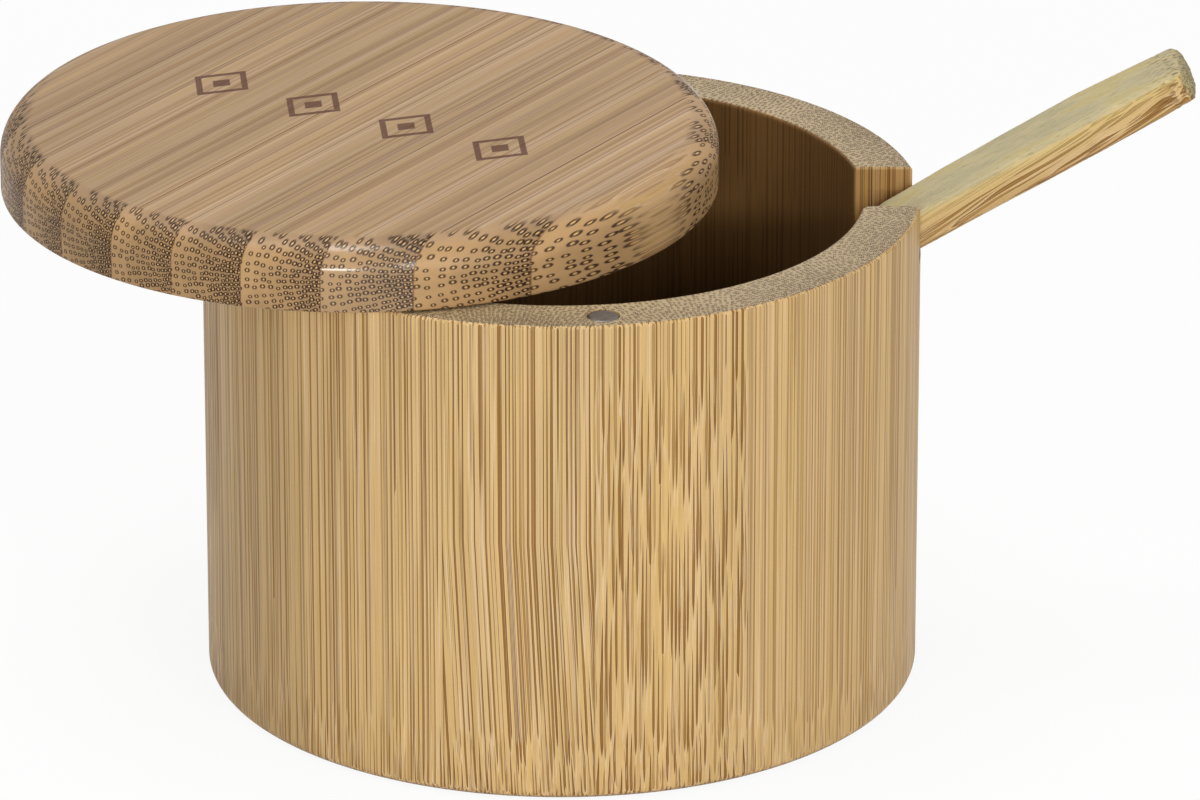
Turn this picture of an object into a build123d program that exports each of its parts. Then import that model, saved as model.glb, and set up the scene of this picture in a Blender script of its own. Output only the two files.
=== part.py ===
from build123d import *
import os
from math import asin, atan2, cos, degrees, hypot, radians, sin, sqrt, tan

# Round bamboo salt cellar with a swivel lid and a spoon standing in a notch.
# Millimetres. Z is up and the cup stands on z = 0. The origin is the centre of the foot.
# +X points to the notch and the spoon handle, +Y to the back, where the lid pivots.
# Every piece is written in the rest pose, with the lid swung open.
os.makedirs("parts", exist_ok=True)

# Cup: a ring of glued staves around a floor board
cup_r = 44.5
cup_h = 62.3
wall = 7.1
foot_round = 1.2
rim_break = 0.45
stave_joints_deg = [
    -108.7, -84.7, -59.2, -34.2, -9.9, 15.8, 42.0,
    68.1, 94.3, 120.5, 146.6, 172.8, 199.0, 225.1,
]
floor_t = 12.4
floor_rebate = 2.0
bore_r = cup_r - wall
floor_r = bore_r + floor_rebate

# Boards: strips glued edge to edge, with what is left of the first and last strip at the edge
floor_strip_count = 9
floor_first_w = 7.55
floor_last_w = 7.55
floor_grain_deg = 40.0
lid_strip_count = 10
lid_first_w = 10.9
lid_last_w = 5.3
lid_grain_deg = 92.6

# Lid
lid_r = cup_r
lid_t = 8.5
lid_top_round = 4.2
lid_low_break = 0.3
lid_gap = 0.2
lid_open_deg = 35.6
lid_z = cup_h + lid_gap

# Pivot pin: pressed into the cup, with the lid running on it
pivot_deg = 99.3
pin_inset = 3.2
pin_d = 4.0
pin_in_cup = 14.0
pin_in_lid = 5.6
pin_end_break = 0.4
pin_running_gap = 0.05
pin_hole_spare = 0.5
pivot_ring_r = cup_r - pin_inset

# Magnets: one flush in the rim and one flush in the lid, face to face when closed
magnet_deg = -82.8
magnet_d = 4.0
magnet_t = 3.0
magnet_break = 0.3

# Notch for the spoon: its floor falls inwards from the outer wall
notch_w = 13.4
notch_y = 1.85
notch_depth = 7.55
notch_fall_deg = 25.5
notch_lip_round = 1.5
notch_corner_round = 1.4

# Spoon, leaning on the lip of the notch with its tip on the floor of the cup
spoon_l = 130.7
spoon_turn_deg = 3.0
spoon_gap = 0.3
tip_wall_gap = 1.2
handle_t = 4.6
handle_side_gap = 1.1
handle_w = notch_w - 2 * handle_side_gap
end_round_w = 2.4
end_round_t = 1.3
bowl_w = 18.0
bowl_wall = 1.3
dish_at = 13.6
dish_l = 23.2
dish_depth = 5.4
dish_above = 1.9
dish_tilt_deg = 3.5
bowl_l = 33.0
bowl_deep = 7.4
tip_top = 0.2
corner_w = 1.2
# handle from inside the bowl to its end: share of its length, then width, top and underside as
# shares of the plain handle's. Inside the lip the top is cut down to a narrower, lower neck.
handle_from = 20.0
handle_sections = [
    (0.0, 0.95, 0.95, 1.65),
    (0.12, 0.72, 0.75, 1.38),
    (0.25, 0.62, 0.58, 1.32),
    (0.53, 0.6, 0.25, 1.04),
    (0.58, 0.72, 0.42, 1.0),
    (0.62, 0.93, 0.95, 1.0),
    (0.7, 0.99, 1.07, 0.92),
    (0.87, 1.01, 1.15, 0.93),
    (1.0, 0.91, 0.95, 0.93),
]


def polar(radius, angle_deg):
    return radius * cos(radians(angle_deg)), radius * sin(radians(angle_deg))


def chords(x, y, rx, ry, start_deg, steps):
    """Points on a quarter of an oval: rounded edges are drawn as short chords."""
    turns = [radians(start_deg + 90 * n / steps) for n in range(steps + 1)]
    return [(x + rx * cos(turn), y + ry * sin(turn)) for turn in turns]


def pin_shape(diameter, z_low, z_high, x, y, low=0.0, high=0.0):
    """Round pin between two heights, with its two end edges broken."""
    pin = Pos(x, y, (z_low + z_high) / 2) * Cylinder(diameter / 2, z_high - z_low)
    ends = pin.edges().filter_by(GeomType.CIRCLE).sort_by(Axis.Z)
    if low:
        pin = chamfer(ends[0], low)
        ends = pin.edges().filter_by(GeomType.CIRCLE).sort_by(Axis.Z)
    if high:
        pin = chamfer(ends[-1], high)
    return pin


def bore(diameter, z_low, z_high, x, y):
    return Pos(x, y, (z_low + z_high) / 2) * Cylinder(diameter / 2, z_high - z_low)


def save(shape, node):
    solids = shape.solids()
    assert len(solids) == 1, (node, len(solids))
    solid = solids[0]
    solid.label = node
    export_step(solid, "parts/" + node + ".step")


pivot_x, pivot_y = polar(pivot_ring_r, pivot_deg)
magnet_x, magnet_y = polar(pivot_ring_r, magnet_deg)

# Ring of the cup before it is split: foot rounding, broken rim edges, rebate for the floor
with BuildSketch(Plane.XZ) as wall_face:
    with BuildLine():
        Polyline(
            (cup_r - rim_break, cup_h),
            (bore_r + rim_break, cup_h),
            (bore_r, cup_h - rim_break),
            (bore_r, floor_t),
            (floor_r, floor_t),
            (floor_r, 0),
            *chords(cup_r - foot_round, foot_round, foot_round, foot_round, -90, 4),
            (cup_r, cup_h - rim_break),
            (cup_r - rim_break, cup_h),
        )
    make_face()
ring = revolve(wall_face.sketch, Axis.Z)

# Notch: open at the top, with a rounded inner lip and one rounded inner corner
notch_low, notch_high = notch_y - notch_w / 2, notch_y + notch_w / 2
lip_x = sqrt(bore_r**2 - notch_high**2)
fall = tan(radians(notch_fall_deg))
floor_at_lip = cup_h - notch_depth - fall * (cup_r - lip_x)
lip_run = notch_lip_round / tan(radians(45 + notch_fall_deg / 2))
lip_low_z = floor_at_lip - lip_run
lip_end_x = lip_x + lip_run * cos(radians(notch_fall_deg))
lip_end_z = floor_at_lip + lip_run * sin(radians(notch_fall_deg))
with BuildSketch(Plane.XZ) as notch_face:
    with BuildLine():
        Polyline(
            (lip_x, lip_low_z),
            (lip_x - wall, lip_low_z),
            (lip_x - wall, cup_h + 1),
            (cup_r + 1, cup_h + 1),
            (cup_r + 1, cup_h - notch_depth + fall),
            (lip_end_x, lip_end_z),
        )
        RadiusArc((lip_end_x, lip_end_z), (lip_x, lip_low_z), -notch_lip_round)
    make_face()
notch = Pos(0, notch_high, 0) * extrude(notch_face.sketch, notch_w)
corner_x = sqrt(bore_r**2 - notch_low**2)
with BuildSketch() as corner_face:
    with BuildLine():
        Polyline(
            (corner_x + notch_corner_round, notch_low),
            (corner_x - notch_corner_round, notch_low),
            (corner_x - notch_corner_round, notch_low - notch_corner_round),
            (corner_x - 0.2, notch_low - notch_corner_round),
        )
        RadiusArc(
            (corner_x - 0.2, notch_low - notch_corner_round),
            (corner_x + notch_corner_round, notch_low),
            notch_corner_round * 1.06,
        )
    make_face()
wide_notch = Pos(0, notch_high, 0) * extrude(notch_face.sketch, 2 * notch_w)
corner = extrude(corner_face.sketch, cup_h + 1) & wide_notch

pin_low = cup_h - pin_in_cup
magnet_low = cup_h - magnet_t
cup_cuts = [
    notch,
    corner,
    bore(pin_d, pin_low, cup_h + 1, pivot_x, pivot_y),
    bore(magnet_d, magnet_low, cup_h + 1, magnet_x, magnet_y),
]
turned_ring = ring
for cut in cup_cuts:
    turned_ring = turned_ring - cut

# Staves: the turned ring split along the radial joints
reach = 2 * cup_r
stave_ends = stave_joints_deg[1:] + [stave_joints_deg[0] + 360]
for k, (start, end) in enumerate(zip(stave_joints_deg, stave_ends)):
    with BuildSketch() as sector_face:
        with BuildLine():
            Polyline((0, 0), polar(reach, start), polar(reach, end), (0, 0))
        make_face()
    sector = Pos(0, 0, -1) * extrude(sector_face.sketch, cup_h + 2)
    save(turned_ring & sector, f"stave_{k + 1:02d}")


def strips(board, radius, count, first_w, last_w, grain_deg, z_low, z_high):
    """Split a round board along its grain into strips, all but the end ones alike."""
    pitch = (2 * radius - first_w - last_w) / (count - 2)
    joints = [-radius + first_w + n * pitch for n in range(count - 1)]
    limits = [-radius - 1] + joints + [radius + 1]
    pieces = []
    for low, high in zip(limits, limits[1:]):
        slab = Pos(0, -(low + high) / 2, (z_low + z_high) / 2) * Box(
            3 * radius, high - low, z_high - z_low + 2
        )
        pieces.append(board & (Rot(0, 0, grain_deg) * slab))
    return pieces


# Floor board
floor_board = Pos(0, 0, floor_t / 2) * Cylinder(floor_r, floor_t)
floor_strips = strips(
    floor_board, floor_r, floor_strip_count, floor_first_w, floor_last_w, floor_grain_deg, 0, floor_t
)
for n, piece in enumerate(floor_strips):
    save(piece, f"floor_strip_{n + 1:02d}")

# Lid, drawn closed, then swung about the pivot into the rest pose
lid_top = lid_z + lid_t
with BuildSketch(Plane.XZ) as lid_face:
    with BuildLine():
        Polyline(
            (0, lid_top),
            (0, lid_z),
            (lid_r - lid_low_break, lid_z),
            (lid_r, lid_z + lid_low_break),
            *chords(lid_r - lid_top_round, lid_top - lid_top_round, lid_top_round, lid_top_round, 0, 8),
            (0, lid_top),
        )
    make_face()
lid_board = revolve(lid_face.sketch, Axis.Z)
lid_hole_top = cup_h + pin_in_lid + pin_hole_spare
lid_board = lid_board - bore(pin_d + 2 * pin_running_gap, lid_z - 1, lid_hole_top, pivot_x, pivot_y)
lid_board = lid_board - bore(magnet_d, lid_z - 1, lid_z + magnet_t, magnet_x, magnet_y)

pivot = Axis((pivot_x, pivot_y, 0), (0, 0, 1))


def swing_open(shape):
    return shape.rotate(pivot, -lid_open_deg)


lid_strips = strips(
    lid_board, lid_r, lid_strip_count, lid_first_w, lid_last_w, lid_grain_deg, lid_z, lid_top
)
for n, piece in enumerate(lid_strips):
    save(swing_open(piece), f"lid_strip_{n + 1:02d}")

# Pin and magnets
pin_top = cup_h + pin_in_lid
save(pin_shape(pin_d, pin_low, pin_top, pivot_x, pivot_y, pin_end_break, pin_end_break), "pivot_pin")
save(pin_shape(magnet_d, magnet_low, cup_h, magnet_x, magnet_y, high=magnet_break), "rim_magnet")
lid_magnet = pin_shape(magnet_d, lid_z, lid_z + magnet_t, magnet_x, magnet_y, low=magnet_break)
save(swing_open(lid_magnet), "lid_magnet")

# Spoon: drawn along +X from its tip, +Z up, then leaned into the cup
def handle_section(at, half_w, top, bottom):
    """Oblong with rounded corners."""
    right = chords(half_w - corner_w, bottom + corner_w, corner_w, corner_w, -90, 3)
    right += chords(half_w - corner_w, top - corner_w, corner_w, corner_w, 0, 3)
    left = [(-x, y) for x, y in reversed(right)]
    place = Plane(origin=(at, 0, 0), x_dir=(0, 1, 0), z_dir=(1, 0, 0))
    with BuildSketch(place) as face:
        with BuildLine():
            Polyline(*right, *left, right[0])
        make_face()
    return face.sketch


def end_corner(half, radius, plane, length):
    """Everything outside a rounded corner at the outer end of the handle."""
    with BuildSketch(plane) as face:
        with BuildLine():
            Polyline(
                *chords(spoon_l - radius, half - radius, radius, radius, 0, 5),
                (spoon_l - radius, half + 2),
                (spoon_l + 2, half + 2),
                (spoon_l + 2, half - radius),
                (spoon_l, half - radius),
            )
        make_face()
    return extrude(face.sketch, length, both=True)


handle_rows = []
for share, wide, top, under in handle_sections:
    at = handle_from + share * (spoon_l - handle_from)
    handle_rows.append((at, wide * handle_w / 2, top * handle_t / 2, -under * handle_t / 2))
handle = loft([handle_section(*row) for row in handle_rows], ruled=True)

# Bowl: the lower part of an oval body, its top falling to the tip, with an oval dish sunk in it
bowl_half_l = bowl_l / 2
oval = scale(Sphere(1), by=(bowl_half_l, bowl_w / 2, bowl_deep))
bowl = Pos(bowl_half_l, 0, handle_t / 2) * oval
above = Pos(0, 0, tip_top) * Rot(0, -dish_tilt_deg, 0) * Pos(0, 0, bowl_deep) * Box(
    4 * bowl_l, 2 * bowl_w, 2 * bowl_deep
)
spoon = (bowl - above) + handle

end_half_w, end_half_t = handle_rows[-1][1], handle_rows[-1][2]
side_corner = end_corner(end_half_w, end_round_w, Plane.XY, 2 * handle_t)
face_corner = end_corner(end_half_t, end_round_t, Plane.XZ, 2 * end_half_w)
spoon = spoon - side_corner - side_corner.mirror(Plane.XZ) - face_corner - face_corner.mirror(Plane.XY)

dish_half_w = bowl_w / 2 - bowl_wall
dish = Pos(dish_at, 0, dish_above) * scale(Sphere(1), by=(dish_l / 2, dish_half_w, dish_depth))
spoon = spoon - dish

# Lean: the bowl stands on the floor and the handle lies on the lip of the notch.
# The height of the tip depends on the lean, so the two are worked out in turns.
turn = radians(spoon_turn_deg)
tip_x = -(bore_r - tip_wall_gap)
run = (lip_x + notch_lip_round - tip_x) / cos(turn)
clear = notch_lip_round + spoon_gap + handle_t / 2
rise = radians(30)
for _ in range(30):
    half_high = hypot(bowl_half_l * sin(rise), bowl_deep * cos(rise))
    bowl_low = bowl_half_l * sin(rise) + handle_t / 2 * cos(rise) - half_high
    tip_z = floor_t + spoon_gap - bowl_low
    climb = lip_low_z - tip_z
    rise = atan2(climb, run) + asin(clear / hypot(climb, run))
tip_y = notch_y - ((cup_r + bore_r) / 2 - tip_x) * sin(turn) / cos(turn)
lean = Location((tip_x, tip_y, tip_z)) * Rot(0, 0, spoon_turn_deg) * Rot(0, -degrees(rise), 0)
save(lean * spoon, "spoon")
print("spoon leans at", round(degrees(rise), 2), "degrees")
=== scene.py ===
from math import cos, pi, radians, sin, sqrt, tan

import bmesh
import bpy
from mathutils import Matrix, Vector, noise


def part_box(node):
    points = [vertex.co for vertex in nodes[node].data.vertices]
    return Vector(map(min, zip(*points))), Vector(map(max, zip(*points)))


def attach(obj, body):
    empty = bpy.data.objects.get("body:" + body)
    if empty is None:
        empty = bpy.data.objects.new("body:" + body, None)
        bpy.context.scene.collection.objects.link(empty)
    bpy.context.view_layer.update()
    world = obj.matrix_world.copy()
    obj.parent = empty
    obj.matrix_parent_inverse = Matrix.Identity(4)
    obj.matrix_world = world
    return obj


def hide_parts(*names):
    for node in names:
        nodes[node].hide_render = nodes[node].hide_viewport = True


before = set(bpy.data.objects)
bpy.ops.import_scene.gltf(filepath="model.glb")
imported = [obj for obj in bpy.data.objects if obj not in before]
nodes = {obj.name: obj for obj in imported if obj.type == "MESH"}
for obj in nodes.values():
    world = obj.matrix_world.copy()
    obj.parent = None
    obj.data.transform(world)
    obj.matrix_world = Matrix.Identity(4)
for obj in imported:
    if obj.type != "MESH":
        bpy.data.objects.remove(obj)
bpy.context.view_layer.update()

# Salt cellar of glued bamboo. Sizes in millimetres, as in part.py; objects in metres.
MM, MM_IN_M = 0.001, 1000.0
CUP_R, CUP_H, WALL = 44.5, 62.3, 7.1
BORE_R = CUP_R - WALL
FLOOR_T, FLOOR_REBATE = 12.4, 2.0
FOOT_ROUND, RIM_BREAK = 1.2, 0.45
STAVE_JOINTS = [
    -108.7, -84.7, -59.2, -34.2, -9.9, 15.8, 42.0,
    68.1, 94.3, 120.5, 146.6, 172.8, 199.0, 225.1, 251.3,
]
LID_T, LID_TOP_ROUND, LID_LOW_BREAK, LID_Z = 8.5, 4.2, 0.3, 62.5
LID_TOP = LID_Z + LID_T
LID_EDGE_STRIPS, LID_STRIPS, LID_GRAIN = (10.9, 5.3), 10, 92.6
OPEN = -35.6
FLOOR_EDGE_STRIPS, FLOOR_STRIPS, FLOOR_GRAIN = (7.55, 7.55), 9, 40.0
PIVOT = Vector((-6.674, 40.757, 0.0))
PIN_R, PIN_GAP, PIN_IN_CUP, PIN_HOLE_IN_LID = 2.0, 0.05, 14.0, 5.9
RING_R, MAGNET_AT, MAGNET_R, MAGNET_T = 41.3, -82.8, 2.0, 3.0
POCKET_R = MAGNET_R + 0.03
STAVES, MAGNET_STAVES, NOTCH_STAVE, PIN_STAVE = 14, (1, 2), 5, 9
MAGNET_STRIPS = (5, 6)
NOTCH_W, NOTCH_Y, NOTCH_DEPTH, NOTCH_FALL = 13.4, 1.85, 7.55, 25.5
LIP_ROUND, CORNER_ROUND = 1.5, 1.4
SPOON_TURN, SPOON_LEAN, SPOON_L = 3.0, 29.33, 130.7
SPOON_TIP = Vector((-36.2, -2.2, 12.95))

scene = bpy.context.scene
turned = Matrix.Rotation(radians(OPEN), 3, "Z")
LID_C = PIVOT + turned @ (-PIVOT)
LID_AZ = LID_GRAIN + OPEN
LEANED = Matrix.Rotation(radians(SPOON_TURN), 3, "Z") @ Matrix.Rotation(-radians(SPOON_LEAN), 3, "Y")


# camera, lights, stage
def look_at(obj, target):
    obj.rotation_euler = (Vector(target) - obj.location).to_track_quat("-Z", "Y").to_euler()


# the photo's camera, fitted to its outlines: a long lens looking down from the front
CAMERA_LENS, SENSOR_W, CAMERA_DROP = 289.02, 36.0, 22.446
CAMERA_PLACE = (0.004773, -1.111256, 0.49351)
camera_data = bpy.data.cameras.new("camera")
camera_data.sensor_width = SENSOR_W
camera_data.lens = CAMERA_LENS
camera_data.clip_end = 50
camera = bpy.data.objects.new("camera", camera_data)
scene.collection.objects.link(camera)
camera.location = CAMERA_PLACE
camera.rotation_euler = (radians(90 - CAMERA_DROP), 0, 0)
scene.camera = camera


def area_light(name, place, target, size, power, colour=(1, 1, 1)):
    data = bpy.data.lights.new(name, "AREA")
    data.shape = "ELLIPSE"
    data.size, data.size_y = size
    data.energy = power
    data.color = colour
    obj = bpy.data.objects.new(name, data)
    scene.collection.objects.link(obj)
    obj.location = place
    look_at(obj, target)


area_light("soft_front", (0.75, -1.5, 0.70), (0, 0, 0.04), (0.8, 0.8), 13.5, (1.0, 0.985, 0.955))
area_light("small_front", (-0.20, -2.0, 0.52), (0, 0, 0.05), (0.42, 0.12), 7.0, (1.0, 0.99, 0.98))
area_light("soft_top", (-0.3, 0.0, 1.6), (0, 0, 0.05), (0.9, 0.9), 14.5, (0.98, 0.985, 1.0))

scene.view_settings.view_transform = "Standard"


# node helpers
def rgb(r, g, b):
    """A colour written as it looks on screen, 0 to 255."""
    def line(c):
        c /= 255
        return c / 12.92 if c <= 0.04045 else ((c + 0.055) / 1.055) ** 2.4
    return (line(r), line(g), line(b), 1.0)


class Net:
    """Short calls to add and join shader nodes."""

    def __init__(self, tree):
        self.tree = tree

    def node(self, kind, **settings):
        made = self.tree.nodes.new(kind)
        for key, value in settings.items():
            setattr(made, key, value)
        return made

    def put(self, socket, value):
        if isinstance(value, bpy.types.NodeSocket):
            self.tree.links.new(value, socket)
        elif value is not None:
            socket.default_value = value

    def math(self, operation, a, b=None, c=None):
        made = self.node("ShaderNodeMath", operation=operation)
        for socket, value in zip(made.inputs, (a, b, c)):
            self.put(socket, value)
        return made.outputs[0]

    def add(self, a, b):
        return self.math("ADD", a, b)

    def sub(self, a, b):
        return self.math("SUBTRACT", a, b)

    def mul(self, a, b):
        return self.math("MULTIPLY", a, b)

    def larger(self, a, b):
        return self.math("MAXIMUM", a, b)

    def size(self, a):
        return self.math("ABSOLUTE", a)

    def vec(self, operation, a, b=None, scale=None):
        made = self.node("ShaderNodeVectorMath", operation=operation)
        self.put(made.inputs[0], a)
        self.put(made.inputs[1], b)
        if scale is not None:
            self.put(made.inputs["Scale"], scale)
        return made.outputs["Value"] if operation in ("DOT_PRODUCT", "LENGTH") else made.outputs[0]

    def join(self, x, y, z=0.0):
        made = self.node("ShaderNodeCombineXYZ")
        for socket, value in zip(made.inputs, (x, y, z)):
            self.put(socket, value)
        return made.outputs[0]

    def split(self, vector):
        made = self.node("ShaderNodeSeparateXYZ")
        self.put(made.inputs[0], vector)
        return made.outputs[0], made.outputs[1], made.outputs[2]

    def step(self, value, low, high, first=0.0, last=1.0):
        """Smooth step from first at low to last at high."""
        made = self.node("ShaderNodeMapRange", interpolation_type="SMOOTHSTEP")
        for socket, number in zip(made.inputs, (value, low, high, first, last)):
            self.put(socket, number)
        return made.outputs[0]

    def noise(self, vector, scale=1.0, detail=2.0, rough=0.5, colour=False):
        made = self.node("ShaderNodeTexNoise", noise_dimensions="3D")
        self.put(made.inputs["Vector"], vector)
        made.inputs["Scale"].default_value = scale
        made.inputs["Detail"].default_value = detail
        made.inputs["Roughness"].default_value = rough
        return made.outputs["Color"] if colour else made.outputs[0]

    def mix(self, factor, a, b, blend="MIX"):
        made = self.node("ShaderNodeMix", data_type="RGBA", blend_type=blend)
        self.put(made.inputs[0], factor)
        self.put(made.inputs[6], a)
        self.put(made.inputs[7], b)
        return made.outputs[2]

    def mapping(self, vector, place=(0, 0, 0), turn=(0, 0, 0), size=(1, 1, 1)):
        made = self.node("ShaderNodeMapping", vector_type="POINT")
        self.put(made.inputs["Vector"], vector)
        made.inputs["Location"].default_value = place
        made.inputs["Rotation"].default_value = turn
        made.inputs["Scale"].default_value = size
        return made.outputs[0]


# bamboo
# A culm is bundles of fibre running one way in a pale ground, closer together towards the skin.
# The pattern is a field of cells across the fibre, the same along it, so a face cut across the
# fibre shows ringed dots, a face along it shows lines, and one nearly along it shows tapered dashes.
# Below these heights the fibres drift out of the face, lean to a side and splay at the foot.
DRIFT_BELOW, LEAN_BELOW, SPLAY_BELOW = 56.0, 34.0, 9.0
NATURAL_BASE = 2.718282
DARK_FIBRE, WHITE = rgb(74, 40, 12), (1, 1, 1, 1)
SHEEN, GRAIN_DEPTH = 0.25, 0.2 * MM


def bamboo_group():
    """Place is (v, u, w) in millimetres: v towards the skin, u beside it and w along the fibre."""
    group = bpy.data.node_groups.new("Bamboo", "ShaderNodeTree")
    face = group.interface
    for name, kind, value in (
        ("Place", "NodeSocketVector", None), ("End", "NodeSocketFloat", 0.0),
        ("Centre", "NodeSocketFloat", 20.0), ("Pitch", "NodeSocketFloat", 0.04),
        ("Slope", "NodeSocketFloat", 0.0), ("Lean", "NodeSocketFloat", 0.0),
        ("Wander", "NodeSocketFloat", 0.3), ("Seed", "NodeSocketFloat", 0.0),
        ("Fibre", "NodeSocketFloat", 1.0), ("Random", "NodeSocketFloat", 0.6),
        ("Lines", "NodeSocketFloat", 1.0), ("Hairs", "NodeSocketFloat", 0.35),
        ("Foot", "NodeSocketFloat", 0.0), ("Bands", "NodeSocketFloat", 0.28),
        ("Ring", "NodeSocketFloat", 0.27), ("Shine", "NodeSocketFloat", 0.5),
        ("Ground", "NodeSocketColor", None), ("Line", "NodeSocketColor", None),
        ("End ground", "NodeSocketColor", None), ("End ring", "NodeSocketColor", None),
        ("End core", "NodeSocketColor", None),
    ):
        socket = face.new_socket(name=name, in_out="INPUT", socket_type=kind)
        if value is not None:
            socket.default_value = value
    face.new_socket(name="Color", in_out="OUTPUT", socket_type="NodeSocketColor")
    face.new_socket(name="Height", in_out="OUTPUT", socket_type="NodeSocketFloat")
    face.new_socket(name="Gloss", in_out="OUTPUT", socket_type="NodeSocketFloat")
    net = Net(group)
    given = net.node("NodeGroupInput").outputs
    result = net.node("NodeGroupOutput").inputs
    v, u, w = net.split(given["Place"])
    seed = given["Seed"]

    # slow wander of the fibres, and their drift out of the face below a height
    slow = net.join(net.add(net.mul(v, 0.09), seed), net.mul(u, 0.09), net.mul(w, 0.035))
    wander = net.vec("SUBTRACT", net.noise(slow, 1.0, 2.0, 0.5, colour=True), (0.5, 0.5, 0.5))
    wander_v, wander_u, _ = net.split(wander)
    below = net.larger(net.sub(DRIFT_BELOW, w), 0.0)
    foot = net.larger(net.sub(SPLAY_BELOW, w), 0.0)
    drift = net.add(net.mul(below, given["Slope"]), net.mul(foot, given["Foot"]))
    v2 = net.add(net.sub(v, drift), net.mul(wander_v, net.mul(given["Wander"], 4.0)))
    drop = net.larger(net.sub(LEAN_BELOW, w), 0.0)
    u2 = net.add(net.add(u, net.mul(drop, given["Lean"])), net.mul(wander_u, net.mul(given["Wander"], 0.5)))

    # cells that grow with the distance from the skin side
    away = net.sub(given["Centre"], v2)
    far = net.math("SQRT", net.add(net.mul(away, away), net.mul(u2, u2)))
    turn = net.math("ARCTAN2", u2, away)
    cell_x = net.math("DIVIDE", turn, given["Pitch"])
    cell_y = net.math("DIVIDE", net.math("LOGARITHM", far, NATURAL_BASE), given["Pitch"])
    cells = net.join(net.add(cell_x, net.mul(seed, 7.3)), net.add(cell_y, net.mul(seed, 3.1)))
    voronoi = net.node("ShaderNodeTexVoronoi", voronoi_dimensions="2D", feature="F1")
    net.put(voronoi.inputs["Vector"], cells)
    voronoi.inputs["Scale"].default_value = 1.0
    net.put(voronoi.inputs["Randomness"], given["Random"])
    chance, chance2, chance3 = net.split(voronoi.outputs["Color"])
    size = net.mul(net.add(0.82, net.mul(chance, 0.32)), given["Fibre"])
    from_centre = net.vec("SUBTRACT", cells, voronoi.outputs["Position"])
    rel = net.vec("DIVIDE", from_centre, net.join(size, size, 1.0))
    rel_x, rel_y, _ = net.split(rel)

    # across the fibre: bundles of one size, each a pale core between two dark caps that face the
    # skin and the heart; they are darker where they crowd
    cell = net.mul(far, given["Pitch"])
    reach = net.math("DIVIDE", cell, given["Ring"])
    out = net.mul(net.vec("LENGTH", net.join(net.mul(rel_x, 1.12), rel_y)), reach)
    ring = net.mul(net.step(out, 0.34, 0.52), net.step(out, 0.90, 1.14, 1.0, 0.0))
    core = net.step(out, 0.26, 0.42, 1.0, 0.0)
    side = net.math("DIVIDE", net.size(rel_y), net.add(net.vec("LENGTH", rel), 0.001))
    crescent = net.mul(ring, net.step(side, 0.15, 0.70, 0.50, 1.0))
    crowd = net.step(reach, 1.9, 4.0, 1.0, 0.0)
    across = net.mix(net.mul(crowd, 0.28), given["End ground"], given["End ring"])
    across = net.mix(net.mul(net.step(out, 0.9, 1.5, 1.0, 0.0), 0.16), across, given["End ring"])
    across = net.mix(net.mul(crescent, net.add(0.86, net.mul(crowd, 0.14))), across, given["End ring"])
    across = net.mix(net.mul(core, 0.9), across, given["End core"])

    # along the fibre: a bundle is narrow and dark at its skin side, broad and golden at the other
    narrow = net.larger(net.math("MINIMUM", net.mul(rel_y, -3.0), 1.4), -0.45)
    egg = net.vec("LENGTH", net.join(net.mul(rel_x, net.add(1.45, narrow)), net.mul(rel_y, 0.82)))
    body = net.step(egg, 0.33, 0.40, 1.0, 0.0)
    rim = net.mul(net.step(egg, 0.22, 0.31), body)
    tip = net.mul(body, net.step(rel_y, -0.12, -0.26))
    # painted highlights: a pale line down the middle of some bundles, and one on one side of each bundle
    highlight_slit = net.mul(net.step(egg, 0.06, 0.12, 1.0, 0.0), net.step(chance3, 0.66, 0.70))
    highlight_halo = net.mul(net.step(egg, 0.38, 0.42), net.step(egg, 0.50, 0.56, 1.0, 0.0))
    beside = net.mul(highlight_halo, net.step(rel_x, 0.0, 0.1))

    # thin fibres between the bundles, dark ones and a few pale ones
    thin = net.node("ShaderNodeTexVoronoi", voronoi_dimensions="2D", feature="F1")
    net.put(thin.inputs["Vector"], net.vec("SCALE", cells, scale=2.3))
    thin.inputs["Scale"].default_value = 1.0
    thin_chance, thin_chance2, _ = net.split(thin.outputs["Color"])
    thread = net.step(thin.outputs["Distance"], 0.14, 0.28, 1.0, 0.0)
    hair = net.mul(thread, net.step(thin_chance, 0.50, 0.75))
    pale_hair = net.mul(thread, net.step(thin_chance, 0.16, 0.12))

    fine = net.noise(net.join(net.mul(v2, 3.2), net.mul(u2, 3.2), net.mul(w, 0.06)), 1.0, 3.0, 0.6)
    broad_at = net.join(net.add(net.mul(v2, 0.3), seed), net.mul(u2, 0.3), net.mul(w, 0.012))
    broad = net.noise(broad_at, 1.0, 2.0, 0.5)
    hue_at = net.join(net.add(net.mul(v2, 0.8), seed), net.mul(u2, 0.8), net.mul(w, 0.01))
    hue = net.noise(hue_at, 1.0, 2.0, 0.5)
    speck = net.noise(net.join(net.mul(v, 8.0), net.mul(u, 8.0), net.mul(w, 4.0)), 1.0, 2.0, 0.6)

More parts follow.
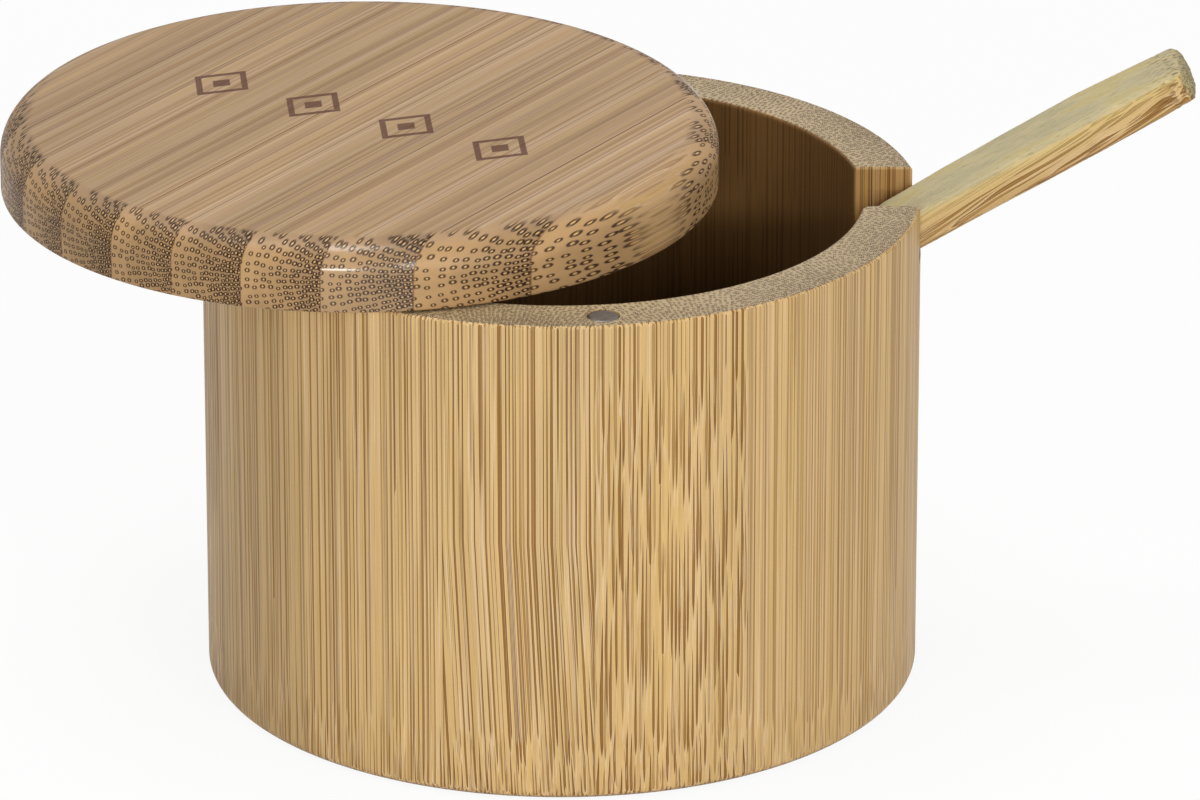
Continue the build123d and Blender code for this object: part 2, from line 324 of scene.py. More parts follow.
    strong = net.mul(given["Lines"], net.step(chance2, 0.05, 0.60, 0.45, 1.0))
    dark = net.mix(0.6, given["Line"], DARK_FIBRE)
    # the colour of the pale fibres and of the painted highlights
    light = net.mix(given["Shine"], given["Ground"], WHITE)
    yellower = net.vec("MULTIPLY", given["Ground"], (0.97, 0.96, 0.84))
    ground = net.mix(net.step(hue, 0.42, 0.58), given["Ground"], yellower)
    along = net.mix(net.mul(net.step(fine, 0.45, 0.7), 0.22), ground, given["Line"])
    along = net.mix(net.mul(net.mul(body, strong), 0.92), along, given["Line"])
    edges = net.larger(net.mul(rim, 0.5), net.mul(tip, 0.85))
    along = net.mix(net.mul(edges, strong), along, dark)
    along = net.mix(net.mul(net.mul(hair, given["Hairs"]), net.step(thin_chance2, 0.2, 0.9)), along, dark)
    # the pale fibres together with the painted highlights
    pale = net.larger(net.mul(highlight_slit, 0.6), net.larger(net.mul(beside, 0.42), net.mul(pale_hair, 0.5)))
    along = net.mix(net.mul(pale, given["Hairs"]), along, light)
    colour = net.mix(given["End"], along, across)
    banded = net.add(1.0, net.mul(net.sub(broad, 0.5), given["Bands"]))
    shade = net.add(banded, net.mul(net.sub(speck, 0.5), 0.16))
    colour = net.vec("MULTIPLY", colour, net.join(shade, shade, shade))
    net.put(result["Color"], colour)
    grooves = net.mul(net.larger(rim, hair), net.sub(1.0, given["End"]))
    height = net.sub(net.sub(0.8, net.mul(grooves, 0.3)), net.mul(net.mul(ring, given["End"]), 0.6))
    net.put(result["Height"], net.add(height, net.mul(speck, 0.10)))
    net.put(result["Gloss"], net.add(net.mul(ring, 0.10), net.mul(speck, 0.1)))
    return group


BAMBOO = bamboo_group()


def toned(colour, gain):
    """The colour made lighter or darker."""
    return tuple(c * gain for c in colour[:3]) + (1.0,)


def end_colours(ground, ring, core):
    """The three colours of a face cut across the fibre."""
    return {"End ground": rgb(*ground), "End ring": rgb(*ring), "End core": rgb(*core)}


def bamboo_material(name, net_place, fibre, values, rough=0.50, gain=1.0, edge_rough=None,
                    end=(0.10, 0.42), coat=0.0, extra=None):
    """net_place(net, coordinates) gives (v, u, w) in millimetres; fibre is the fibre's direction.

    A face shows end grain as its normal turns towards the fibre, between the two shares in end.
    edge_rough and coat are for such faces, and extra adds marks on top.
    """
    material = bpy.data.materials.new(name)
    material.use_nodes = True
    net = Net(material.node_tree)
    shader = net.tree.nodes["Principled BSDF"]
    coords = net.node("ShaderNodeTexCoord")
    place = net_place(net, coords.outputs["Object"])
    facing = net.size(net.vec("DOT_PRODUCT", coords.outputs["Normal"], fibre))
    group = net.node("ShaderNodeGroup")
    group.node_tree = BAMBOO
    net.put(group.inputs["Place"], place)
    net.put(group.inputs["End"], net.step(facing, *end))
    for key, value in values.items():
        if isinstance(value, tuple):
            value = toned(value, gain)
        net.put(group.inputs[key], value)
    colour, height = group.outputs["Color"], group.outputs["Height"]
    if extra:
        colour, height = extra(net, coords, place, colour, height)
    net.put(shader.inputs["Base Color"], colour)
    if edge_rough:
        rough = net.step(facing, 0.35, 0.55, rough, edge_rough)
    net.put(shader.inputs["Roughness"], net.add(group.outputs["Gloss"], rough))
    bump = net.node("ShaderNodeBump")
    bump.inputs["Strength"].default_value = 0.32
    bump.inputs["Distance"].default_value = GRAIN_DEPTH
    net.put(bump.inputs["Height"], height)
    net.put(shader.inputs["Normal"], bump.outputs[0])
    shader.inputs["Specular IOR Level"].default_value = SHEEN
    if coat:
        net.put(shader.inputs["Coat Weight"], net.step(facing, 0.35, 0.55, 0.0, coat))
        shader.inputs["Coat Roughness"].default_value = 0.15
    return material


def give(obj, material):
    obj.data.materials.clear()
    obj.data.materials.append(material)


# mesh helpers
def mesh_object(name, verts, faces, sharp=32.0):
    mesh = bpy.data.meshes.new(name)
    mesh.from_pydata([Vector(v) * MM for v in verts], [], faces)
    form = bmesh.new()
    form.from_mesh(mesh)
    bmesh.ops.recalc_face_normals(form, faces=form.faces)
    form.to_mesh(mesh)
    form.free()
    obj = bpy.data.objects.new(name, mesh)
    scene.collection.objects.link(obj)
    smooth(obj, sharp)
    return obj


def smooth(obj, sharp=32.0):
    obj.data.polygons.foreach_set("use_smooth", [True] * len(obj.data.polygons))
    obj.data.set_sharp_from_angle(angle=radians(sharp))


def settle(obj):
    """Applies the object's modifiers to its mesh."""
    graph = bpy.context.evaluated_depsgraph_get()
    mesh = bpy.data.meshes.new_from_object(obj.evaluated_get(graph))
    obj.modifiers.clear()
    obj.data = mesh


def boolean(obj, other, operation="DIFFERENCE"):
    made = obj.modifiers.new("cut", "BOOLEAN")
    made.operation = operation
    made.solver = "EXACT"
    made.object = other
    settle(obj)
    bpy.data.objects.remove(other)


def arc(x, y, radius, first, last, steps):
    turns = [radians(first + (last - first) * n / steps) for n in range(steps + 1)]
    return [(x + radius * cos(turn), y + radius * sin(turn)) for turn in turns]


def sector(name, profile, first, last, steps):
    """A closed profile (radius, height) turned about the axis between two angles."""
    verts, faces, count = [], [], len(profile)
    for k in range(steps + 1):
        turn = radians(first + (last - first) * k / steps)
        verts += [(r * cos(turn), r * sin(turn), z) for r, z in profile]
    for k in range(steps):
        for i in range(count):
            j = (i + 1) % count
            faces.append((k * count + i, k * count + j, (k + 1) * count + j, (k + 1) * count + i))
    faces.append(tuple(range(count)))
    faces.append(tuple(steps * count + i for i in range(count)))
    return mesh_object(name, verts, faces)


def prism(name, outline, low, high, axis):
    """An outline pushed along an axis: "Z" takes (x, y) and "Y" takes (x, z)."""
    def point(a, b, along):
        return (a, b, along) if axis == "Z" else (a, along, b)
    count = len(outline)
    verts = [point(a, b, low) for a, b in outline] + [point(a, b, high) for a, b in outline]
    faces = [(i, (i + 1) % count, count + (i + 1) % count, count + i) for i in range(count)]
    faces += [tuple(range(count)), tuple(range(count, 2 * count))]
    return mesh_object(name, verts, faces)


def drum(name, radius, low, high, x, y, steps=72):
    ring = arc(x, y, radius, 0, 360 - 360 / steps, steps - 1)
    return prism(name, ring, low, high, "Z")


# cup
WALL_PROFILE = (
    [(BORE_R, FLOOR_T), (BORE_R + FLOOR_REBATE, FLOOR_T), (BORE_R + FLOOR_REBATE, 0.0)]
    + [(CUP_R - FOOT_ROUND - 0.3, 0.0)]
    + arc(CUP_R - FOOT_ROUND, FOOT_ROUND, FOOT_ROUND, -90, 0, 6)
    + [(CUP_R, FOOT_ROUND + 0.4), (CUP_R, CUP_H - RIM_BREAK - 0.3)]
    + arc(CUP_R - RIM_BREAK, CUP_H - RIM_BREAK, RIM_BREAK, 0, 90, 4)
    + [(CUP_R - RIM_BREAK - 0.25, CUP_H), (BORE_R + RIM_BREAK + 0.25, CUP_H)]
    + arc(BORE_R + RIM_BREAK, CUP_H - RIM_BREAK, RIM_BREAK, 90, 180, 4)
    + [(BORE_R, CUP_H - RIM_BREAK - 0.3)]
)
notch_low, notch_high = NOTCH_Y - NOTCH_W / 2, NOTCH_Y + NOTCH_W / 2
lip_x = sqrt(BORE_R**2 - notch_high**2)
fall = radians(NOTCH_FALL)
floor_at_lip = CUP_H - NOTCH_DEPTH - tan(fall) * (CUP_R - lip_x)
lip_run = LIP_ROUND / tan(radians(45 + NOTCH_FALL / 2))
lip_low = floor_at_lip - lip_run
corner_x = sqrt(BORE_R**2 - notch_low**2)


def notch_cutter():
    side = (
        [(lip_x - WALL, lip_low), (lip_x - WALL, CUP_H + 1), (CUP_R + 1, CUP_H + 1)]
        + [(CUP_R + 1, CUP_H - NOTCH_DEPTH + tan(fall))]
        + arc(lip_x + LIP_ROUND, lip_low, LIP_ROUND, 90 + NOTCH_FALL, 180, 8)
    )
    edge = notch_low - CORNER_ROUND
    plan = (
        [(CUP_R + 1, notch_high), (lip_x - WALL, notch_high), (lip_x - WALL, edge), (corner_x - 0.2, edge)]
        + arc(corner_x + CORNER_ROUND, edge, CORNER_ROUND, 175, 90, 8)
        + [(CUP_R + 1, notch_low)]
    )
    cutter = prism("notch_cutter", side, -30, 30, "Y")
    boolean(cutter, prism("notch_plan", plan, 0, CUP_H + 5, "Z"), "INTERSECT")
    return cutter


magnet_xy = (RING_R * cos(radians(MAGNET_AT)), RING_R * sin(radians(MAGNET_AT)))

# how each stave's fibres run: drift out of the face, lean, wander, pitch, splay, lines and tone
PALE, GOLD = rgb(215, 180, 125), rgb(138, 95, 36)
# the glue of the joints, and the painted contact shadow at the foot
STAVE_GLUE, FOOT_SHADOW = rgb(96, 62, 30), rgb(96, 80, 74)
STAVE_LOOK = {
    1: dict(Slope=0.004, Lean=-0.045, Wander=0.04, Pitch=0.0195, Foot=0.03, Hairs=0.9, Lines=1.0, gain=1.0),
    2: dict(Slope=0.026, Lean=0.0, Wander=0.03, Pitch=0.0225, Foot=0.03, Hairs=0.6, Lines=1.0, gain=0.98),
    3: dict(Slope=0.002, Lean=0.0, Wander=0.04, Pitch=0.021, Foot=0.03, Hairs=0.6, Lines=0.6, gain=0.96),
    4: dict(Slope=0.003, Lean=0.0, Wander=0.05, Pitch=0.021, Foot=0.03, Hairs=0.6, Lines=0.6, gain=0.96),
    5: dict(Slope=0.006, Lean=0.01, Wander=0.08, Pitch=0.020, Foot=0.03, Hairs=0.6, Lines=0.8, gain=0.97),
    13: dict(Slope=0.003, Lean=0.0, Wander=0.05, Pitch=0.020, Foot=0.02, Hairs=0.8, Lines=0.7, gain=0.94),
    14: dict(Slope=0.002, Lean=0.0, Wander=0.05, Pitch=0.0195, Foot=0.02, Hairs=0.9, Lines=0.9, gain=1.03),
}
OTHER_LOOK = (
    dict(Slope=0.010, Lean=0.03, Wander=0.08, Pitch=0.020, Foot=0.05, Hairs=0.7, gain=0.98),
    dict(Slope=0.024, Lean=0.0, Wander=0.08, Pitch=0.022, Foot=0.05, Hairs=0.5, gain=1.0),
    dict(Slope=0.003, Lean=-0.04, Wander=0.05, Pitch=0.021, Foot=0.03, Hairs=0.7, Lines=0.7, gain=0.95),
)


def stave_place(mid):
    def place(net, coords):
        local = net.mapping(coords, turn=(0, 0, -radians(mid)), size=(MM_IN_M,) * 3)
        x, y, z = net.split(local)
        return net.join(net.sub(x, CUP_R), y, z)
    return place


def stave_extra(number, half):
    def extra(net, coords, place, colour, height):
        v, u, w = net.split(place)
        # a thin joint line at each side of the stave
        turn = net.size(net.math("ARCTAN2", u, net.add(v, CUP_R)))
        seam = net.step(turn, radians(half) - 0.0042, radians(half) - 0.0012, 0.0, 0.35)
        colour = net.mix(seam, colour, STAVE_GLUE)
        # painted shade: the bore and the notch are darker and browner than the outside
        out = net.math("SQRT", net.add(net.math("POWER", net.add(v, CUP_R), 2.0), net.mul(u, u)))
        bored = net.step(out, BORE_R + 0.12, BORE_R + 0.35, 1.0, 0.0)
        # the painted shade in the bore deepens towards its bottom
        deep = net.step(w, 18.0, 56.0, 0.45, 1.08)
        calm = net.mix(0.55, colour, toned(PALE, 0.74))
        bore_shade = net.vec("MULTIPLY", net.vec("SCALE", calm, scale=deep), (0.34, 0.26, 0.19))
        colour = net.mix(bored, colour, bore_shade)
        # painted contact shadow: the edge of the foot is darkened grey
        colour = net.mix(net.step(w, 0.2, 0.8, 0.6, 0.0), colour, FOOT_SHADOW)
        if number == NOTCH_STAVE:
            # painted shade in the notch: its faces below the rim are darkened and browned
            wall = net.mul(net.step(out, CUP_R - 0.5, CUP_R - 0.2, 1.0, 0.0), net.sub(1.0, bored))
            sunk = net.step(w, CUP_H - 0.5, CUP_H - 0.1, 1.0, 0.0)
            colour = net.mix(net.mul(wall, sunk), colour, net.vec("MULTIPLY", colour, (0.68, 0.58, 0.45)))
        return colour, height
    return extra


def make_stave(number):
    node = f"stave_{number:02d}"
    first, last = STAVE_JOINTS[number - 1], STAVE_JOINTS[number]
    mid, half = (first + last) / 2, (last - first) / 2
    look = dict(STAVE_LOOK.get(number) or OTHER_LOOK[number % 3])
    gain = look.pop("gain")
    piece = sector(node + "_wood", WALL_PROFILE, first, last, 24)
    if number in MAGNET_STAVES:
        boolean(piece, drum("pocket", POCKET_R, CUP_H - MAGNET_T, CUP_H + 1, *magnet_xy))
        smooth(piece)
    if number == NOTCH_STAVE:
        boolean(piece, notch_cutter())
        smooth(piece)
    if number == PIN_STAVE:
        boolean(piece, drum("pin_hole", PIN_R, CUP_H - PIN_IN_CUP, CUP_H + 1, PIVOT.x, PIVOT.y))
        smooth(piece)
    values = dict(
        Centre=23.0, Seed=number * 1.7, Ground=PALE, Line=GOLD, Random=0.55, Ring=0.20,
        **end_colours((196, 173, 134), (66, 44, 24), (200, 176, 132)),
        **look,
    )
    give(piece, bamboo_material(
        node + "_bamboo", stave_place(mid), (0, 0, 1), values, rough=0.40, gain=gain,
        end=(0.75, 0.97), extra=stave_extra(number, half),
    ))
    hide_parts(node)
    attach(piece, "cup")


for number in range(1, STAVES + 1):
    make_stave(number)


# boards of strips
def board_place(centre, azimuth, strip_mid, z_mid, skin):
    """v across the strip towards its skin side, u through the board, w along the grain."""
    def place(net, coords):
        local = net.mapping(coords, turn=(0, 0, -radians(azimuth)), size=(MM_IN_M,) * 3)
        c = Matrix.Rotation(-radians(azimuth), 3, "Z") @ Vector(centre)
        x, y, z = net.split(net.vec("SUBTRACT", local, (c.x, c.y, z_mid)))
        return net.join(net.mul(net.sub(y, strip_mid), skin), z, x)
    return place


def strip_limits(radius, count, first_w, last_w):
    """Edges across the grain, counted as in part.py: the first strip is furthest along +y."""
    pitch = (2 * radius - first_w - last_w) / (count - 2)
    joints = [-radius + first_w + n * pitch for n in range(count - 1)]
    limits = [-radius - 0.001] + joints + [radius + 0.001]
    return [(-high, -low) for low, high in zip(limits, limits[1:])]


GLUE_LINE = rgb(92, 58, 32)


def seam_extra(low, high, radius, skin, motif=None):
    """Joint lines where the strip meets its neighbours, fainter on top, and the motif if there is one."""
    mid = (low + high) / 2

    def extra(net, coords, place, colour, height):
        v, u, w = net.split(place)
        across = net.mul(v, skin)
        strength = net.step(u, LID_T / 2 - 1.2, LID_T / 2, 0.55, 0.16) if motif else 0.55
        for joint in (low, high):
            if abs(joint) < radius:
                away = net.size(net.sub(across, joint - mid))
                line = net.mul(net.step(away, 0.03, 0.13, 1.0, 0.0), strength)
                colour = net.mix(line, colour, GLUE_LINE)
        if motif:
            # the rounded edge is more golden than the top
            up = net.vec("DOT_PRODUCT", coords.outputs["Normal"], (0, 0, 1))
            golden = net.vec("MULTIPLY", colour, (1.04, 1.0, 0.84))
            colour = net.mix(net.step(up, 0.72, 0.97, 1.0, 0.0), colour, golden)
            colour, height = motif(net, place, mid, colour, height)
        return colour, height
    return extra


LOZENGE_PITCH, LOZENGE_HALF_W, LOZENGE_HALF_H = 13.9, 4.1, 5.2
# the lid's strips all have their skin side the same way, against the axis across the grain
LID_SKIN = -1.0


def lozenges(net, place, strip_mid, colour, height):
    """A row of four burnt-in lozenges across the lid, each with a small one inside."""
    v, u, w = net.split(place)
    across = net.add(net.mul(v, LID_SKIN), strip_mid)
    half = LOZENGE_PITCH / 2
    near = net.math("WRAP", net.add(across, half), half, -half)
    wide = net.math("DIVIDE", net.size(near), LOZENGE_HALF_W)
    form = net.add(wide, net.math("DIVIDE", net.size(w), LOZENGE_HALF_H))
    outline = net.mul(net.step(form, 0.74, 0.78), net.step(form, 0.98, 1.02, 1.0, 0.0))
    inner = net.step(form, 0.30, 0.36, 1.0, 0.0)
    row_end = 2 * LOZENGE_PITCH
    inside_row = net.step(net.size(across), row_end - 0.3, row_end, 1.0, 0.0)
    top = net.step(u, LID_T / 2 - 0.3, LID_T / 2 - 0.1)
    mask = net.mul(net.mul(net.larger(outline, inner), inside_row), top)
    patchy = net.noise(net.join(net.mul(v, 3.0), net.mul(w, 0.6), 0.0), 1.0, 2.0)
    burnt = net.mix(patchy, rgb(66, 34, 16), rgb(104, 62, 34))
    return net.mix(net.mul(mask, 0.93), colour, burnt), net.sub(height, net.mul(mask, 1.6))


# lid: a turned board, sliced into its strips
LID_PROFILE = (
    [(CUP_R - LID_LOW_BREAK - 0.4, LID_Z)]
    + arc(CUP_R - LID_LOW_BREAK, LID_Z + LID_LOW_BREAK, LID_LOW_BREAK, -90, 0, 3)
    + [(CUP_R, LID_Z + LID_LOW_BREAK + 0.3)]
    + arc(CUP_R - LID_TOP_ROUND, LID_TOP - LID_TOP_ROUND, LID_TOP_ROUND, 0, 90, 14)
    + [(CUP_R - LID_TOP_ROUND - 0.5, LID_TOP)]
)


def turned_board(name, profile, centre, steps=288):
    verts, faces, count = [], [], len(profile)
    for k in range(steps):
        turn = 2 * pi * k / steps
        verts += [(centre.x + r * cos(turn), centre.y + r * sin(turn), z) for r, z in profile]
    for k in range(steps):
        other = (k + 1) % steps
        for i in range(count - 1):
            faces.append((k * count + i, k * count + i + 1, other * count + i + 1, other * count + i))
    faces.append(tuple(k * count for k in range(steps)))
    faces.append(tuple(k * count + count - 1 for k in range(steps)))
    return mesh_object(name, verts, faces)


def slice_board(board, name, centre, azimuth, low, high):
    """The part of a board between two lines along its grain."""
    across = Matrix.Rotation(radians(azimuth), 3, "Z") @ Vector((0, 1, 0))
    form = bmesh.new()
    form.from_mesh(board.data)
    for edge, sign in ((low, -1), (high, 1)):
        point = (centre + across * edge) * MM
        everything = form.verts[:] + form.edges[:] + form.faces[:]
        cut = bmesh.ops.bisect_plane(
            form, geom=everything, plane_co=point, plane_no=across * sign, clear_outer=True, dist=1e-8
        )
        edges = [e for e in cut["geom_cut"] if isinstance(e, bmesh.types.BMEdge)]
        if edges:
            bmesh.ops.contextual_create(form, geom=edges)
    bmesh.ops.recalc_face_normals(form, faces=form.faces)
    mesh = bpy.data.meshes.new(name)
    form.to_mesh(mesh)
    form.free()
    obj = bpy.data.objects.new(name, mesh)
    scene.collection.objects.link(obj)
    smooth(obj)
    return obj


lid_board = turned_board("lid_board", LID_PROFILE, LID_C)
lid_magnet_at = PIVOT + turned @ (Vector((*magnet_xy, 0)) - PIVOT)
# tone and how far the bundles are apart, strip by strip
LID_LOOK = (
    (0.93, 0.060), (0.90, 0.058), (0.95, 0.062), (0.92, 0.058), (1.00, 0.062),
    (0.95, 0.056), (1.0, 0.062), (0.98, 0.058), (1.03, 0.068), (1.02, 0.072),
)
# the strip whose rounded end shines most
SHINY_STRIP, SHINY_COAT = 8, 0.65
for n, (low, high) in enumerate(strip_limits(CUP_R, LID_STRIPS, *LID_EDGE_STRIPS)):
    node = f"lid_strip_{n + 1:02d}"
    piece = slice_board(lid_board, node + "_wood", LID_C, LID_AZ, low, high)
    if n + 1 in MAGNET_STRIPS:
        pocket = drum("pocket", POCKET_R, LID_Z - 1, LID_Z + MAGNET_T, lid_magnet_at.x, lid_magnet_at.y)
        boolean(piece, pocket)
        smooth(piece)
    lo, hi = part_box(node)
    if lo.x < PIVOT.x * MM < hi.x and lo.y < PIVOT.y * MM < hi.y:
        hole = drum("pin_hole", PIN_R + PIN_GAP, LID_Z - 1, LID_Z + PIN_HOLE_IN_LID, PIVOT.x, PIVOT.y)
        boolean(piece, hole)
        smooth(piece)
    gain, pitch = LID_LOOK[n]
    mid = (low + high) / 2
    values = dict(
        Centre=13.0, Pitch=pitch, Slope=0.001 * (n % 3 - 1), Lean=0.0, Wander=0.03, Seed=20 + n * 2.3,
        Random=0.4, Ring=0.29, Lines=0.36, Hairs=1.0, Bands=0.55, Shine=0.18,
        Ground=rgb(184, 153, 118), Line=rgb(128, 92, 62),
        **end_colours((180, 147, 111), (42, 19, 6), (204, 166, 112)),
    )
    azimuth = radians(LID_AZ)
    give(piece, bamboo_material(
        node + "_bamboo", board_place(LID_C, LID_AZ, mid, LID_Z + LID_T / 2, LID_SKIN),
        (cos(azimuth), sin(azimuth), 0), values, gain=gain, edge_rough=0.38, end=(0.015, 0.20),
        coat=SHINY_COAT if n + 1 == SHINY_STRIP else 0.0,
        extra=seam_extra(low, high, CUP_R, LID_SKIN, lozenges),
    ))
    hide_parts(node)
    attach(piece, "lid")
bpy.data.objects.remove(lid_board)

# floor of the cup: the CAD pieces with their own wood
for n, (low, high) in enumerate(strip_limits(BORE_R + FLOOR_REBATE, FLOOR_STRIPS, *FLOOR_EDGE_STRIPS)):
    node = f"floor_strip_{n + 1:02d}"
    mid = (low + high) / 2
    skin = -1.0 if n % 2 else 1.0
    values = dict(
        Centre=14.0, Pitch=0.05, Slope=0.003 * (n % 3 - 1), Lean=0.0, Wander=0.05, Seed=60 + n * 1.9,
        Ground=rgb(205, 172, 126), Line=rgb(152, 110, 60),
        **end_colours((180, 146, 104), (92, 58, 30), (214, 180, 122)),
    )
    azimuth = radians(FLOOR_GRAIN)
    give(nodes[node], bamboo_material(
        node + "_bamboo", board_place(Vector((0, 0, 0)), FLOOR_GRAIN, mid, FLOOR_T / 2, skin),
        (cos(azimuth), sin(azimuth), 0), values, gain=0.96 + 0.02 * (n % 3),
        extra=seam_extra(low, high, BORE_R + FLOOR_REBATE, skin),
    ))


# magnets and pin
def metal(name, colour, rough, place):
    """Turned metal: fine rings about its axis, a few scuffs and painted shade darkening its edge."""
    material = bpy.data.materials.new(name)
    material.use_nodes = True
    net = Net(material.node_tree)
    shader = net.tree.nodes["Principled BSDF"]
    coords = net.node("ShaderNodeTexCoord").outputs["Object"]
    local = net.vec("SUBTRACT", net.vec("SCALE", coords, scale=MM_IN_M), (place[0], place[1], 0))
    x, y, z = net.split(local)
    out = net.math("SQRT", net.add(net.mul(x, x), net.mul(y, y)))
    rings = net.noise(net.join(net.mul(out, 9.0), net.mul(z, 9.0), 0.0), 1.0, 3.0, 0.6)
    marks = net.noise(net.vec("SCALE", local, scale=2.2), 1.0, 4.0, 0.6)
    tone = net.mix(net.step(marks, 0.35, 0.65), toned(colour, 0.8), toned(colour, 1.15))
    # painted shade: a darker ring at the edge
    tone = net.mix(net.step(out, 1.7, 2.0, 0.0, 0.35), tone, toned(colour, 0.5))
    net.put(shader.inputs["Base Color"], tone)
    shader.inputs["Metallic"].default_value = 1.0
    net.put(shader.inputs["Roughness"], net.add(rough, net.mul(marks, 0.25)))
    bump = net.node("ShaderNodeBump")
    bump.inputs["Strength"].default_value = 0.25
    bump.inputs["Distance"].default_value = 0.00005
    net.put(bump.inputs["Height"], net.add(rings, net.mul(marks, 0.8)))
    net.put(shader.inputs["Normal"], bump.outputs[0])
    return material


PLATED, STEEL = rgb(118, 112, 106), rgb(190, 190, 188)
give(nodes["rim_magnet"], metal("rim_magnet_metal", PLATED, 0.30, magnet_xy))
give(nodes["lid_magnet"], metal("lid_magnet_metal", PLATED, 0.30, lid_magnet_at))
give(nodes["pivot_pin"], metal("pivot_pin_steel", STEEL, 0.24, PIVOT))


# spoon
# how finely it is remeshed, how much it is filled out again, and how deep its marks are
SPOON_MESH, SPOON_FILL = 0.36, 0.10
KNIFE_DEPTH, SAWN_DEPTH, SAWN_END_DEPTH = 0.10, 0.16, 0.22
SAWN_FROM, SAWN_FULL, SAWN_END = SPOON_L - 5.0, SPOON_L - 2.0, SPOON_L - 1.2


def spoon_place(net, coords):
    """Millimetres along the spoon from its tip, across it, and above its middle plane."""
    from_tip = net.mapping(coords, place=tuple(-SPOON_TIP), size=(MM_IN_M,) * 3)
    straight = net.mapping(from_tip, turn=(0, 0, -radians(SPOON_TURN)))
    return net.split(net.mapping(straight, turn=(0, radians(SPOON_LEAN), 0)))


def spoon_material():
    material = bpy.data.materials.new("spoon_bamboo")
    material.use_nodes = True
    net = Net(material.node_tree)
    shader = net.tree.nodes["Principled BSDF"]
    coords = net.node("ShaderNodeTexCoord")
    x, y, z = spoon_place(net, coords.outputs["Object"])
    top = net.vec("DOT_PRODUCT", coords.outputs["Normal"], tuple(LEANED @ Vector((0, 0, 1))))
    end = net.vec("DOT_PRODUCT", coords.outputs["Normal"], tuple(LEANED @ Vector((1, 0, 0))))
    group = net.node("ShaderNodeGroup")
    group.node_tree = BAMBOO
    # the fibres run slantwise through the spoon, so its sides show long slanting streaks
    slow = net.noise(net.join(net.mul(x, 0.05), net.mul(y, 0.3), net.mul(z, 0.3)), 1.0, 2.0)
    slant = net.join(net.add(z, net.add(net.mul(x, -0.085), net.mul(slow, 2.0))), y, x)
    net.put(group.inputs["Place"], slant)
    net.put(group.inputs["End"], 0.0)
    net.put(group.inputs["Lines"], net.step(x, 82.0, 104.0, 0.4, 1.0))
    for key, value in dict(
        Centre=26.0, Pitch=0.0135, Slope=0.0, Lean=0.0, Wander=0.04, Seed=91.0, Fibre=1.15, Hairs=0.85,
        Ground=rgb(208, 176, 122), Line=rgb(146, 104, 44), Random=0.7, Shine=0.25,
    ).items():
        net.put(group.inputs[key], value)
    colour = group.outputs["Color"]
    # browner along the lower edge of the outer half
    lower = net.mul(net.step(z, -0.6, -2.2), net.step(x, 78.0, 112.0))
    colour = net.mix(net.mul(lower, 0.40), colour, rgb(140, 94, 52))
    # yellow just below the skin
    upper = net.step(net.add(z, net.mul(slow, 2.0)), 0.8, 3.2, 0.0, 0.5)
    colour = net.mix(upper, colour, rgb(206, 182, 112))
    # the top face: grey green, partly the skin's own tint and partly painted cool shade, with yellow
    # patches and short dark flecks
    patch = net.noise(net.join(net.mul(x, 0.10), net.mul(y, 0.35), z), 1.0, 3.0)
    skin_and_cool_shade = net.mix(net.step(patch, 0.38, 0.62), rgb(208, 196, 158), rgb(190, 181, 144))
    fleck = net.noise(net.join(net.mul(x, 0.6), net.mul(y, 3.6), z), 1.0, 4.0, 0.7)
    skin_and_cool_shade = net.mix(net.mul(net.step(fleck, 0.54, 0.66), 0.6), skin_and_cool_shade, rgb(142, 130, 86))
    yellow = net.step(patch, 0.50, 0.36, 0.0, 0.5)
    skin_and_cool_shade = net.mix(yellow, skin_and_cool_shade, rgb(204, 186, 122))
    ragged = net.add(top, net.mul(net.sub(patch, 0.5), 0.9))
    colour = net.mix(net.mul(net.step(ragged, 0.20, 1.0), 0.85), colour, skin_and_cool_shade)
    # the sawn end and the torn fibres round it
    torn = net.noise(net.join(net.mul(x, 0.9), net.mul(y, 2.2), net.mul(z, 2.2)), 1.0, 3.0, 0.6)
    near_end = net.step(x, SPOON_L - 6.5, SPOON_L - 1.5)
    colour = net.mix(net.mul(net.mul(near_end, net.step(torn, 0.50, 0.62)), 0.7), colour, rgb(108, 72, 32))
    grit = net.noise(net.join(x, net.mul(y, 3.4), net.mul(z, 3.4)), 1.0, 2.0)
    sawn = net.mix(net.step(grit, 0.42, 0.62), rgb(172, 162, 122), rgb(112, 100, 66))
    colour = net.mix(net.step(end, 0.45, 0.70, 0.0, 0.9), colour, sawn)
    net.put(shader.inputs["Base Color"], colour)
    net.put(shader.inputs["Roughness"], net.add(0.46, group.outputs["Gloss"]))
    bump = net.node("ShaderNodeBump")
    bump.inputs["Strength"].default_value = 0.5
    bump.inputs["Distance"].default_value = GRAIN_DEPTH
    net.put(bump.inputs["Height"], net.add(group.outputs["Height"], net.mul(fleck, 0.4)))
    net.put(shader.inputs["Normal"], bump.outputs[0])
    shader.inputs["Specular IOR Level"].default_value = SHEEN
    return material


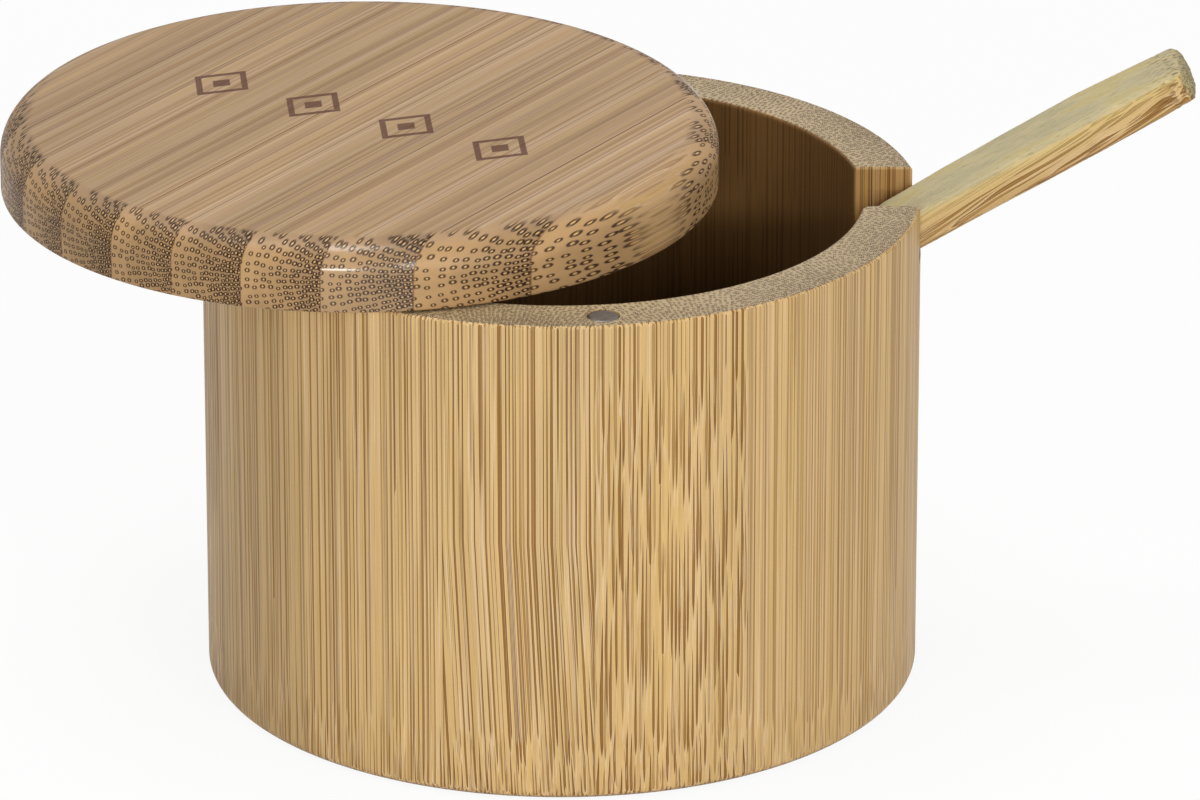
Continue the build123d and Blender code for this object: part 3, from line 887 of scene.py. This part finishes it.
def carved_spoon():
    """The CAD spoon remeshed and rubbed down, with knife marks along it and a rough sawn end."""
    piece = bpy.data.objects.new("spoon_wood", nodes["spoon"].data.copy())
    scene.collection.objects.link(piece)
    remesh = piece.modifiers.new("remesh", "REMESH")
    remesh.mode = "VOXEL"
    remesh.voxel_size = SPOON_MESH * MM
    rub = piece.modifiers.new("rub", "SMOOTH")
    rub.factor = 0.5
    rub.iterations = 5
    fill = piece.modifiers.new("fill", "DISPLACE")
    fill.mid_level = 0.0
    fill.strength = SPOON_FILL * MM
    settle(piece)
    along = (LEANED @ Vector((1, 0, 0))).normalized()
    flat = LEANED.transposed()
    normals = [vert.normal.copy() for vert in piece.data.vertices]
    for vert, normal in zip(piece.data.vertices, normals):
        at = flat @ (vert.co / MM - SPOON_TIP)
        facets = noise.noise(Vector((at.x * 0.11, at.y * 0.28, at.z * 0.28)))
        near_end = max(0.0, min(1.0, (at.x - SAWN_FROM) / (SAWN_FULL - SAWN_FROM)))
        rough = noise.noise(at * 0.9) * near_end
        vert.co -= normal * (KNIFE_DEPTH * (facets + 0.5) + SAWN_DEPTH * abs(rough)) * MM
        if at.x > SAWN_END:
            vert.co -= along * SAWN_END_DEPTH * abs(noise.noise(at * 1.7)) * MM
    smooth(piece, 70)
    return piece


spoon = carved_spoon()
give(spoon, spoon_material())
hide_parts("spoon")
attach(spoon, "spoon")


# floor, backdrop, world
def white_seen_by(net):
    """1 for camera, glossy and transmission rays and 0 for the others."""
    rays = net.node("ShaderNodeLightPath").outputs
    return net.larger(rays["Is Camera Ray"], net.larger(rays["Is Glossy Ray"], rays["Is Transmission Ray"]))


def stage_material():
    """White to the camera and in reflections, with the object's shadow kept."""
    material = bpy.data.materials.new("stage_white")
    material.use_nodes = True
    net = Net(material.node_tree)
    tree = net.tree
    shader = tree.nodes["Principled BSDF"]
    shader.inputs["Base Color"].default_value = (0.9, 0.9, 0.9, 1)
    shader.inputs["Roughness"].default_value = 0.9
    shader.inputs["Specular IOR Level"].default_value = 0.0
    glow = net.node("ShaderNodeEmission")
    glow.inputs["Strength"].default_value = 1.0
    blend = net.node("ShaderNodeMixShader")
    net.put(blend.inputs[0], net.mul(white_seen_by(net), 0.92))
    net.put(blend.inputs[1], shader.outputs[0])
    net.put(blend.inputs[2], glow.outputs[0])
    net.put(tree.nodes["Material Output"].inputs["Surface"], blend.outputs[0])
    return material


STAGE_HALF, STAGE_Z, WORLD_LIGHT = 9000, -0.2, 0.22
corners = [(x * STAGE_HALF, y * STAGE_HALF, STAGE_Z) for x, y in ((-1, -1), (1, -1), (1, 1), (-1, 1))]
floor = mesh_object("stage_floor", corners, [(0, 1, 2, 3)])
give(floor, stage_material())

world = bpy.data.worlds.new("studio")
scene.world = world
world.use_nodes = True
net = Net(world.node_tree)
background = world.node_tree.nodes["Background"]
background.inputs["Color"].default_value = WHITE
net.put(background.inputs["Strength"], net.add(WORLD_LIGHT, net.mul(white_seen_by(net), 1.0 - WORLD_LIGHT)))
